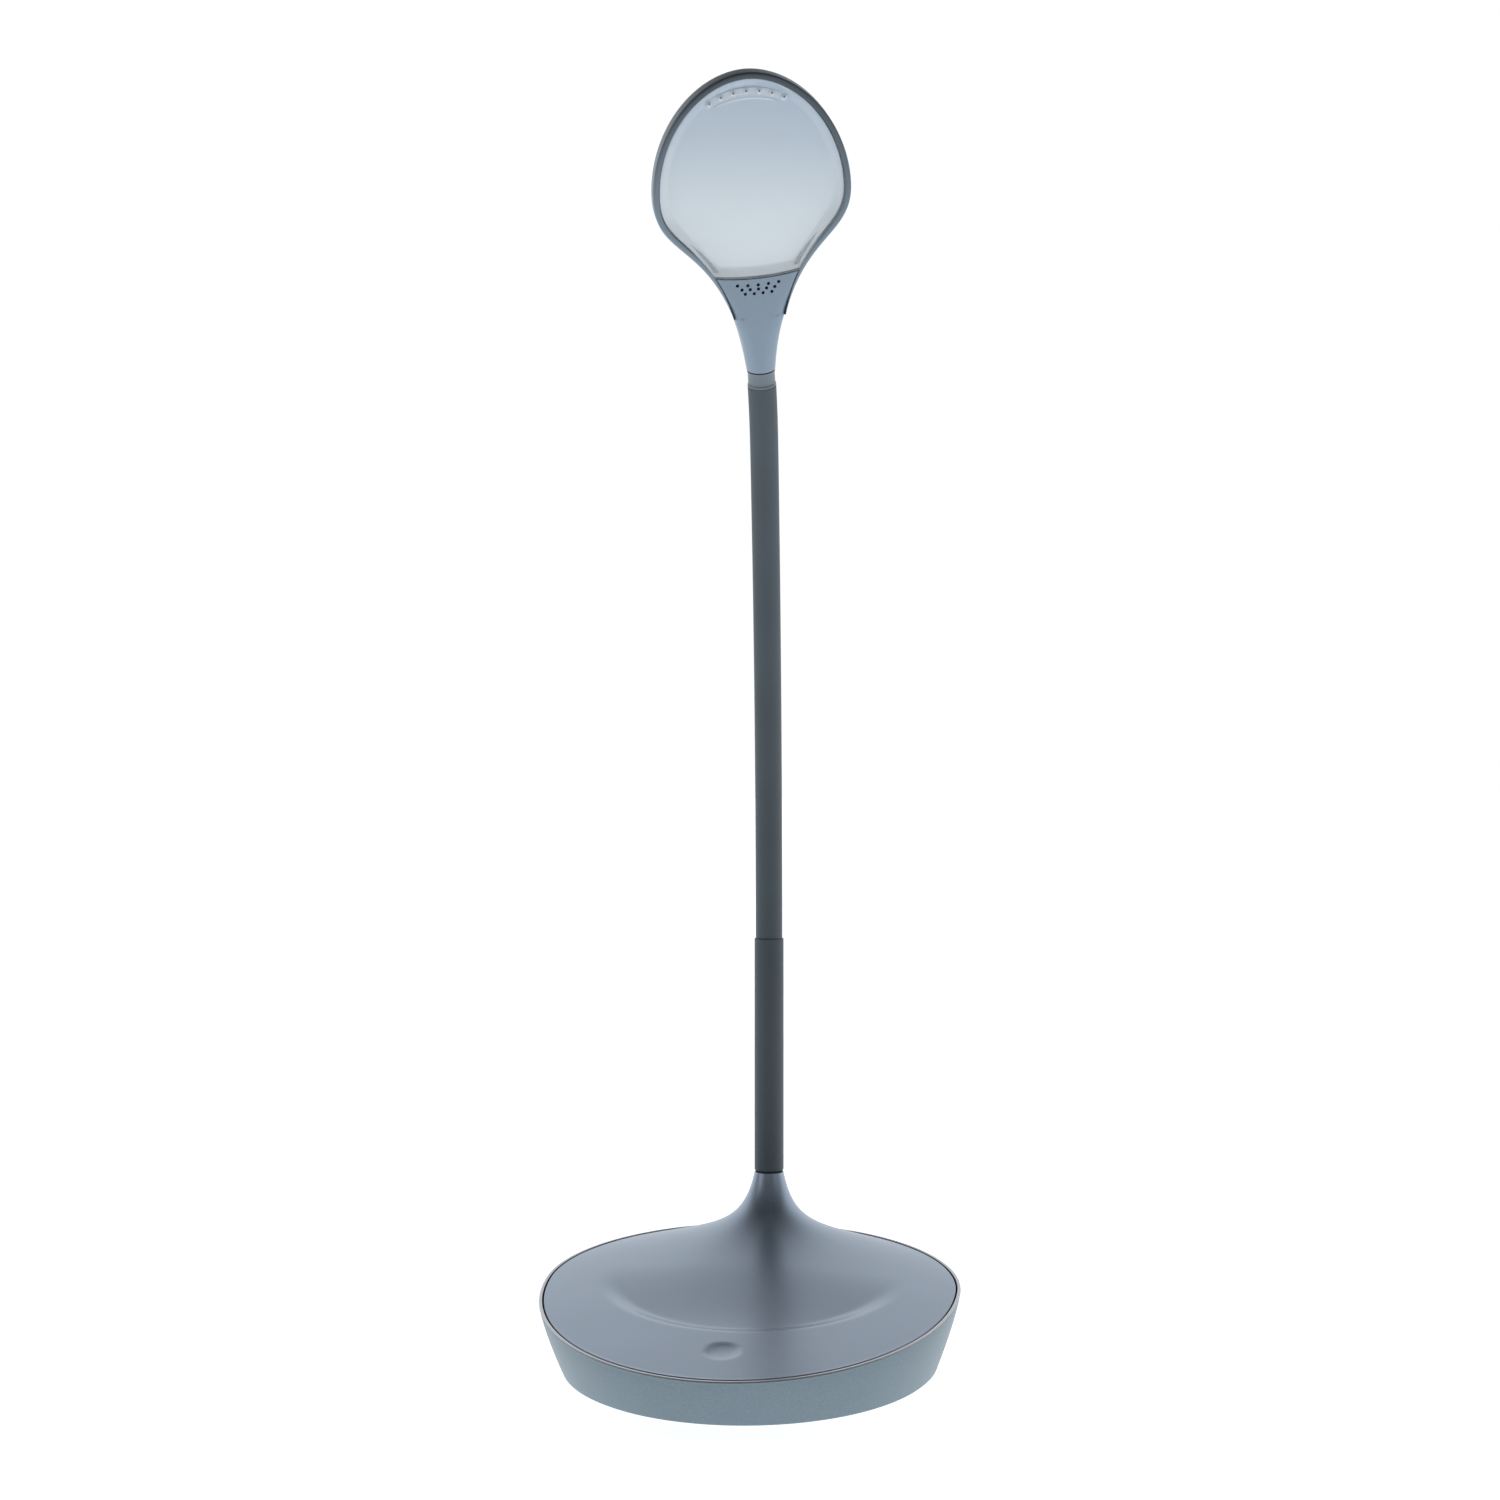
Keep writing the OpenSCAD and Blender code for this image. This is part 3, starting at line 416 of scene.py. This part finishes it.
# Painted highlight: the rim's upward faces get a lighter, more metallic material that stands in for the light
# line along the lip's top
for face in base_shell.data.polygons:
    middle = face.center / MM
    if face.normal.z > 0.45 and middle.z > rim_z(middle.y) - 1:
        face.material_index = 1

jack_low, jack_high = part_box("power_jack")
jack_x, jack_z = (jack_low.x + jack_high.x) / 2, (jack_low.z + jack_high.z) / 2
jack_r = 5.55


def rod(name, r, length, place, sides=64):
    return lathe(name, [(r, 0), (r, length)], dark_plastic, place, sides, wrap=False)


# The power inlet's hole
jack_way = Matrix.Translation((jack_x, jack_high.y + 0.004, jack_z)) @ Matrix.Rotation(radians(90), 4, "X")
cut_away(base_shell, [rod("jack_hole", jack_r, 18, jack_way)])
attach(base_shell, "root")
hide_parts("base_shell")

# ---- seal in the dark gap ----
seal = loft("cover_seal_ring", [
    rim_ring(rim_lip + 0.05, ledge_drop - 0.05), rim_ring(rim_lip + 0.05, edge_drop + 0.05),
    rim_ring(seat_inset - 0.1, edge_drop + 0.05), rim_ring(seat_inset - 0.1, ledge_drop - 0.05)],
    seal_rubber, wrap=True)
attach(seal, "root")
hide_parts("cover_seal")

# ---- top cover with its trumpet, crescent hollow and touch dimple ----
edge_r = 0.6
cover_rings = [cover_ring(cover_inset + edge_r, stem_sleeve_r, (k / 150) ** 1.3, 0.0) for k in range(151)]
cover_rings += [rim_ring(cover_inset + edge_r - run, drop) for run, drop in corner(edge_r, 6)[1:]]
cover_rings += [rim_ring(cover_inset, edge_drop), rim_ring(seat_inset - 0.1, edge_drop)]
cover_rings += [cover_ring(seat_inset - 0.1, stem_tube_r + 0.05, t, cover_wall * t ** 0.3)
                for t in ((k / 24) ** 1.35 for k in range(24, -1, -1))]
top_cover = loft("top_cover_skin", cover_rings, cover_paint, wrap=True, sharp=40)
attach(top_cover, "root")
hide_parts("top_cover")

# ---- stem: collar and sleeve ----
stem_place = Matrix.Translation((0, stem_y * MM, 0))


def sleeve_profile(outer, bore, low, high, r):
    """Profile of a sleeve with rounded outer ends."""
    up = [(outer - r + s, low + d) for s, d in corner(r, 5)]
    down = [(outer - r + s, high - d) for s, d in reversed(corner(r, 5))]
    return [(bore, low), *up, *down, (bore, high)]


collar_low, collar_high, sleeve_low = collar_z + 0.05, collar_z + 0.85, collar_z + 0.9
stem_bore = stem_tube_r + 0.05
collar = lathe("collar_gasket", sleeve_profile(stem_sleeve_r - 0.5, stem_bore, collar_low, collar_high, 0.2),
               seal_rubber, stem_place)
sleeve = lathe("stem_sleeve_skin", sleeve_profile(stem_sleeve_r, stem_bore, sleeve_low, stem_top_z, 0.45),
               neck_rubber, stem_place)
for obj, node, slot in ((collar, "collar_ring", "rubber"), (sleeve, "stem_sleeve", "neck")):
    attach(obj, "root")
    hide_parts(node)

# ---- flexible neck: one smooth length of skin for each joint, between the middles of the links it joins ----
neck_skin_r, neck_skin_bore_r = 6.625, 5.2
neck_joints = [j for j in frame["joints"] if j["name"].startswith("neck_")]
swivel = joints["head_swivel"]
neck_start = Vector((0, stem_y * MM, stem_top_z * MM))
stations = [neck_start] + [Vector(j["pos_m"]) for j in neck_joints] + [Vector(swivel["pos_m"])]
half_pitch = (stations[1] - stations[0]).length
side_axis = Vector((1, 0, 0))
for k, joint in enumerate(neck_joints, start=1):
    here = stations[k]
    before = (here - stations[k - 1]).normalized()
    after = (stations[k + 1] - here).normalized()
    low, high = here - before * half_pitch, here + after * half_pitch
    rings, inner = [], []
    steps, sides = 28, 72
    for i in range(steps + 1):
        u = i / steps
        centre = low * (1 - u) ** 2 + here * 2 * u * (1 - u) + high * u * u
        along = (before * (1 - u) + after * u).normalized()
        across = (side_axis - along * side_axis.dot(along)).normalized()
        up = along.cross(across)
        spokes = [across * cos(a) + up * sin(a) for a in turn(sides)]
        rings.append([(centre + spoke * neck_skin_r * MM) / MM for spoke in spokes])
        inner.append([(centre + spoke * neck_skin_bore_r * MM) / MM for spoke in spokes])
    skin = loft(f"neck_sleeve_{k}", rings + inner[::-1], neck_rubber, wrap=True)
    covered = [f"neck_skin_{k - 1}"] + ([f"neck_skin_{k}"] if k == len(neck_joints) else [])
    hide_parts(*covered)
    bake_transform(skin)

# ---- head frame: local X to the right, -Y out of the face, Z from the neck to the top ----
head_swivel = 11
ferrule_len = 8
axis_z = Vector(swivel["axis"]).normalized()
axis_y = Vector(joints["neck_side_10"]["axis"]).normalized()
axis_x = axis_y.cross(axis_z)
neck_turned = Matrix((axis_x, axis_y, axis_z)).transposed().to_4x4()
neck_end = Matrix.Translation(Vector(swivel["pos_m"])) @ neck_turned
head = neck_end @ Matrix.Translation((0, 0, ferrule_len * MM)) @ Matrix.Rotation(radians(head_swivel), 4, "Z")

ferrule_h = 7.6
ferrule_r = neck_skin_r - 0.05
ferrule = lathe("swivel_ferrule_skin", [
    (3.5, 0.05), (ferrule_r - 0.3, 0.05), (ferrule_r - 0.08, 0.13), (ferrule_r, 0.35), (ferrule_r, 0.9),
    (ferrule_r - 0.12, 1.15), (ferrule_r - 0.30, 1.35), (ferrule_r - 0.34, 2.2),
    (ferrule_r - 0.34, ferrule_h - 1.2), (ferrule_r - 0.2, ferrule_h - 0.6),
    (ferrule_r - 0.1, ferrule_h - 0.2), (ferrule_r - 0.25, ferrule_h),
    (3.5, ferrule_h)], ferrule_grey, neck_end, sharp=50)
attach(ferrule, "neck_10")
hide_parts("swivel_ferrule")

# ---- head outline, as in the CAD model ----
throat_r, head_half_w, head_wide_s, head_top_s = 6.6, 43.7, 83.5, 135.8
face_y, back_y, head_wall, lens_t = 7, 8.4, 2, 2
collar_s, lens_corner_s, lens_sag = 27, 46.9, 1.6
ledge_y = -face_y + lens_t + 0.8
top_power = 2 / 1.92
side_points = ((throat_r, 0), (13.4, 65), (head_half_w, 56.2), (head_half_w, head_wide_s))


def side(t):
    """Point (x, s) of the head's side, a Bezier curve from the neck to the widest place."""
    u = 1 - t
    b = (u ** 3, 3 * u * u * t, 3 * u * t * t, t ** 3)
    return sum(w * p[0] for w, p in zip(b, side_points)), sum(w * p[1] for w, p in zip(b, side_points))


def side_dir(t):
    """Direction of that curve at t."""
    u, p = 1 - t, side_points
    x, s = (u * u * (p[1][i] - p[0][i]) + 2 * u * t * (p[2][i] - p[1][i]) + t * t * (p[3][i] - p[2][i])
            for i in (0, 1))
    return Vector((x, s)).normalized()


def side_t(s):
    """Share of the side curve at which it passes height s."""
    low, high = 0.0, 1.0
    for _ in range(40):
        middle = (low + high) / 2
        low, high = (middle, high) if side(middle)[1] < s else (low, middle)
    return low


def seam(s):
    """Width of the frame around the lens at height s: thin at the throat, and widest around the top."""
    q = clamp01((s - collar_s) / 43)
    return 0.12 + 2.5 * (1 - (1 - q) ** 1.5)


SIDE_N, TOP_N, EDGE_N = 56, 56, 24


def outline(s0, inset, depth, low_depth=None, squeeze=0.0, sag=0.0):
    """Ring of (x, y, s) points around the head above height s0. inset(s) is the distance in from the outline
    and depth is y. The bottom edge lies at low_depth and sags in its middle, and squeeze pulls the ring in
    towards the back's middle."""
    t0 = side_t(s0)
    half = []
    for k in range(SIDE_N):
        t = mix(t0, 1, k / SIDE_N)
        (x, s), d = side(t), side_dir(t)
        w = inset(s)
        half.append((x - w * d.y, s + w * d.x * clamp01((s - s0) / 12)))
    for k in range(TOP_N):
        a = pi / 2 * k / TOP_N
        w = inset(head_top_s)
        half.append(((head_half_w - w) * cos(a) ** top_power,
                     head_wide_s + (head_top_s - head_wide_s - w) * sin(a) ** top_power))
    ring = half + [(0, head_top_s - inset(head_top_s))] + [(-x, s) for x, s in reversed(half)]
    w = half[0][0]
    edge = [(x, s0 - sag * (1 - (x / w) ** 2)) for x in (mix(-w, w, k / EDGE_N) for k in range(1, EDGE_N))]

    def placed(p, y):
        return p[0] * (1 - squeeze), y, collar_s + (p[1] - collar_s) * (1 - 0.42 * squeeze)

    edge_depth = depth if low_depth is None else low_depth
    return [placed(p, depth) for p in ring] + [placed(p, edge_depth) for p in edge]


# ---- back shell with the frame around the lens ----
shell_back = []
for k in range(22, -1, -1):
    a = pi / 2 * k / 22
    shell_back.append(outline(collar_s, lambda s: 0.0, back_y * sin(a), squeeze=0.85 * (1 - cos(a))))
front_r, ledge_in = 0.9, 4.4
rings = list(shell_back)
rings += [outline(collar_s, lambda s: 0.0, y, max(y, ledge_y)) for y in (-2, -4, -face_y + front_r)]
for run, drop in corner(front_r, 6)[1:]:
    y = -face_y + front_r - run
    rings.append(outline(collar_s, lambda s, d=drop: min(d, seam(s) * 0.45), y, ledge_y))
rings.append(outline(collar_s, lambda s: max(seam(s) - 0.25, seam(s) * 0.6), -face_y, ledge_y))
rings.append(outline(collar_s, lambda s: max(seam(s) - 0.07, seam(s) * 0.85), -face_y + 0.08, ledge_y))
rings.append(outline(collar_s, seam, -face_y + 0.25, ledge_y))
rings.append(outline(collar_s, seam, ledge_y, ledge_y))
rings += [outline(collar_s + ledge_in, lambda s: ledge_in, y) for y in (ledge_y, ledge_y + 0.8)]
rings.append(outline(collar_s + head_wall, lambda s: head_wall, ledge_y + 2))
for k in range(1, 17):
    a = pi / 2 * k / 16
    rings.append(outline(collar_s + head_wall, lambda s: head_wall, (back_y - head_wall) * sin(a),
                         squeeze=0.85 * (1 - cos(a))))
# The back shell carries painted shade: its paint darkens towards the head's top.
back_shell = loft("head_back_shell", rings, head_paint_with_painted_shade, place=head, sharp=38)
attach(back_shell, "head")
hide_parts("back_shell")

# ---- throat: round at the neck, flattening into the plate below the lens ----
throat_rings = []
sections = 144


def throat_ring(s, in_by, front_depth, back_depth, power, full=0.0, sag=0.0):
    """Section of the throat at height s: the front is a superellipse of the given power, and the back is an
    ellipse that gains a flat middle as full goes to 1."""
    w = side(side_t(s))[0] - in_by
    ring = []
    for a in turn(sections):
        c, v = cos(a), sin(a)
        sign = 1 if c >= 0 else -1
        if v < 0:
            x, y = w * c, -front_depth * (1 - min(1.0, abs(c)) ** (2 / power)) ** (power / 2)
        else:
            x, y = w * sign * mix(abs(c), 0.15 + 0.85 * abs(c), full * clamp01(abs(c) * 8)), back_depth * v
        ring.append((x, y, s - sag * (1 - (x / w) ** 2)))
    return ring


for s, in_by in ((0.05, 0.35), (0.15, 0.1), (0.4, 0)):
    throat_rings.append(throat_ring(s, in_by, throat_r - in_by, throat_r - in_by, 1))
for k in range(1, 37):
    s = mix(0.4, collar_s, k / 36)
    f = smooth(s / collar_s)
    power = mix(1, 0.32, (s / collar_s) ** 1.4)
    throat_rings.append(throat_ring(s, 0, mix(throat_r, face_y, f), mix(throat_r, back_y, f), power, f))
plate_back = ledge_y - 0.05
for k in range(0, 25):
    s = mix(collar_s + 0.02, lens_corner_s - 0.12, k / 24)
    power = mix(0.32, 0.12, smooth(k / 16))
    ring = throat_ring(s, seam(s) + 0.07, face_y, plate_back, power, 1, lens_sag * k / 24)
    throat_rings.append([(x, min(y, plate_back), z) for x, y, z in ring])
throat = loft("throat_cover", throat_rings, throat_paint, place=head, sharp=38, strips=True)

# Vents: each row has its count, its spacing and its height, and the rows curve up at their ends
vent_rows = ((5, 4.65, 42.4), (5, 3.7, 40.5), (4, 4.0, 38.5))
vent_r, vent_curve = 0.74, 0.0058
drills = []
for count, step, s in vent_rows:
    for i in range(count):
        x = (i - (count - 1) / 2) * step
        start = Vector((x, -face_y - 2, s + vent_curve * x * x)) * MM
        way = head @ Matrix.Translation(start) @ Matrix.Rotation(radians(-90), 4, "X")
        drills.append(rod("vent", vent_r, 6, way, 24))
cut_away(throat, drills, sharp=38)
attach(throat, "head")
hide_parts("throat_housing")

# ---- lens panel ----
gap = 0.16
lens_low = lens_corner_s + 0.1
lens_edge = ((0.5, 0.1 + lens_t), (gap, 0.1 + lens_t), (gap, 0.55), (gap + 0.06, 0.32), (gap + 0.2, 0.16),
             (gap + 0.45, 0.1))
lens_rings = [outline(lens_low + d * 0.6, lambda s, d=d: seam(s) + d, -face_y + deep, sag=lens_sag)
              for d, deep in lens_edge]
# The lens carries painted shade: darker towards the top, lighter at the bottom.
lens = loft("lens_window", lens_rings, diffuser_with_painted_shade, place=head, sharp=30)
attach(lens, "head")
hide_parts("lens_panel")

# ---- thin dark gasket under the lens's edge, and the light panel that rises to it like a shallow dish ----
lens_back = -face_y + 0.15 + lens_t
gasket_back = ledge_y - 0.05


def inner_ring(d, y):
    """Ring that lies d inside the frame around the lens."""
    return outline(lens_low + d, lambda s: seam(s) + d, y, sag=lens_sag)


gasket_rings = [inner_ring(0.05, gasket_back), inner_ring(0.05, lens_back), inner_ring(0.45, lens_back),
                inner_ring(0.45, gasket_back)]
gasket = loft("lens_gasket_trim", gasket_rings, seal_rubber, wrap=True, place=head)
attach(gasket, "head")
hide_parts("lens_gasket")
panel_front, panel_back, dish = -3.0, -2.4, 4.4
panel_rim = lens_back + 0.03
panel_rings = [inner_ring(0.45 + dish, panel_back), inner_ring(0.5, gasket_back), inner_ring(0.5, panel_rim)]
panel_rings += [inner_ring(0.5 + dish * k / 12, mix(panel_rim, panel_front, smooth(k / 12)))
                for k in range(1, 13)]
# The light panel carries painted shade: darker towards the top, lighter at the bottom.
panel = loft("light_panel", panel_rings, guide_white_with_painted_shade, place=head)
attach(panel, "head")
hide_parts("reflector")

# ---- LEDs: domes on their arc, each with a dark chip, and the light guide's bright edge below them ----
led_count, led_step, led_arc_r, led_top_s = 7, 9.2, 35, head_top_s - 8.6
led_base = -3.65
dome_profile = [(1.3, 0), (1.3, 0.35), (1.2, 0.62), (0.98, 0.84), (0.62, 0.98), (0.2, 1.04)]
chip_profile = [(0.5, 1.0), (0.5, 1.07), (0.42, 1.10)]
chip_shift = 0.35
for i in range(led_count):
    a = radians((i - (led_count - 1) / 2) * led_step)
    base = Vector((led_arc_r * sin(a), led_base, led_top_s - led_arc_r * (1 - cos(a)))) * MM
    spot = head @ Matrix.Translation(base) @ Matrix.Rotation(radians(90), 4, "X")
    dome = lathe(f"led_dome_{i + 1}", dome_profile, led_white, spot, 32, wrap=False)
    chip_spot = spot @ Matrix.Translation((0, chip_shift * MM, 0))
    chip = lathe(f"led_chip_{i + 1}", chip_profile, dark_plastic, chip_spot, 20, wrap=False)
    for obj in (dome, chip):
        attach(obj, "head")
    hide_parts("leds")
guide_r, guide_span, guide_drop = 38, 22, 3.1
guide_rings = []
for k in range(41):
    a = radians(mix(-guide_span, guide_span, k / 40))
    thick = 0.45 * (1 - (abs(k - 20) / 20) ** 4) + 0.05
    section = ((-thick, -3.02), (-thick, -3.15), (0, -3.3), (thick, -3.15), (thick, -3.02))
    guide_rings.append([(r * sin(a), y, led_top_s - guide_drop - guide_r + r * cos(a))
                        for r, y in ((guide_r + dr, y) for dr, y in section)])
guide = loft("light_guide_edge", guide_rings, led_white, place=head)
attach(guide, "head")

# ---- floor, world and lights: a glowing white sweep under and behind the lamp, and a dim room in front ----
floor_mesh = bpy.data.meshes.new("floor")
floor_mesh.from_pydata([(-12, -12, 0), (12, -12, 0), (12, 12, 0), (-12, 12, 0)], [], [(0, 1, 2, 3)])
floor = bpy.data.objects.new("floor", floor_mesh)
bpy.context.collection.objects.link(floor)
floor_paint = new_material("pale_floor", (0.90, 0.91, 0.92), 0.9, Emission_Color=(0.97, 0.985, 1, 1))
floor_mesh.materials.append(floor_paint)

world = bpy.data.worlds.new("studio")
bpy.context.scene.world = world
world.use_nodes = True
tree = world.node_tree
make, link = tree.nodes.new, tree.links.new
where = make("ShaderNodeTexCoord")
split = make("ShaderNodeSeparateXYZ")
link(where.outputs["Generated"], split.inputs["Vector"])


def fade(tree, source, low, high, start, end):
    """Smooth change from start to end as the source goes from low to high."""
    node = tree.nodes.new("ShaderNodeMapRange")
    node.interpolation_type = "SMOOTHSTEP"
    for key, value in (("From Min", low), ("From Max", high), ("To Min", start), ("To Max", end)):
        node.inputs[key].default_value = value
    tree.links.new(source, node.inputs["Value"])
    return node.outputs["Result"]


def to_camera(tree, light, seen):
    """The value of light for lighting, and seen where the camera looks straight at it."""
    ray, choose = tree.nodes.new("ShaderNodeLightPath"), tree.nodes.new("ShaderNodeMix")
    choose.inputs["B"].default_value = seen
    tree.links.new(ray.outputs["Is Camera Ray"], choose.inputs["Factor"])
    tree.links.new(light, choose.inputs["A"])
    return choose.outputs["Result"]


behind = fade(tree, split.outputs["Y"], -0.25, 0.5, 0.14, 1.2)
above = fade(tree, split.outputs["Z"], 0.48, 0.92, 1.05, 0.2)
product = make("ShaderNodeMath")
product.operation = "MULTIPLY"
link(behind, product.inputs[0])
link(above, product.inputs[1])
background = tree.nodes["Background"]
background.inputs["Color"].default_value = (0.96, 0.98, 1, 1)
link(to_camera(tree, product.outputs[0], 1.05), background.inputs["Strength"])

floor_tree = floor_paint.node_tree
floor_place = floor_tree.nodes.new("ShaderNodeTexCoord")
floor_split = floor_tree.nodes.new("ShaderNodeSeparateXYZ")
floor_shader = floor_tree.nodes["Principled BSDF"]
floor_tree.links.new(floor_place.outputs["Object"], floor_split.inputs["Vector"])
glow = fade(floor_tree, floor_split.outputs["Y"], -1.0, -0.15, 0.15, 1.05)
floor_tree.links.new(to_camera(floor_tree, glow, 0.85), floor_shader.inputs["Emission Strength"])


def soft_light(name, place, target, size, power):
    """Rectangular light. Its places and sizes are in metres, and its power is in watts."""
    lamp = bpy.data.lights.new(name, "AREA")
    lamp.shape = "RECTANGLE"
    lamp.size, lamp.size_y = size
    lamp.energy = power
    obj = bpy.data.objects.new(name, lamp)
    bpy.context.collection.objects.link(obj)
    obj.location = place
    obj.rotation_euler = (Vector(target) - Vector(place)).to_track_quat("-Z", "Y").to_euler()


soft_light("key_light", (-1.5, -1.0, 0.5), (0, 0, 0.15), (1.0, 0.7), 2.0)
soft_light("fill_light", (1.6, -0.9, 0.5), (0, 0, 0.15), (1.0, 0.7), 0.7)
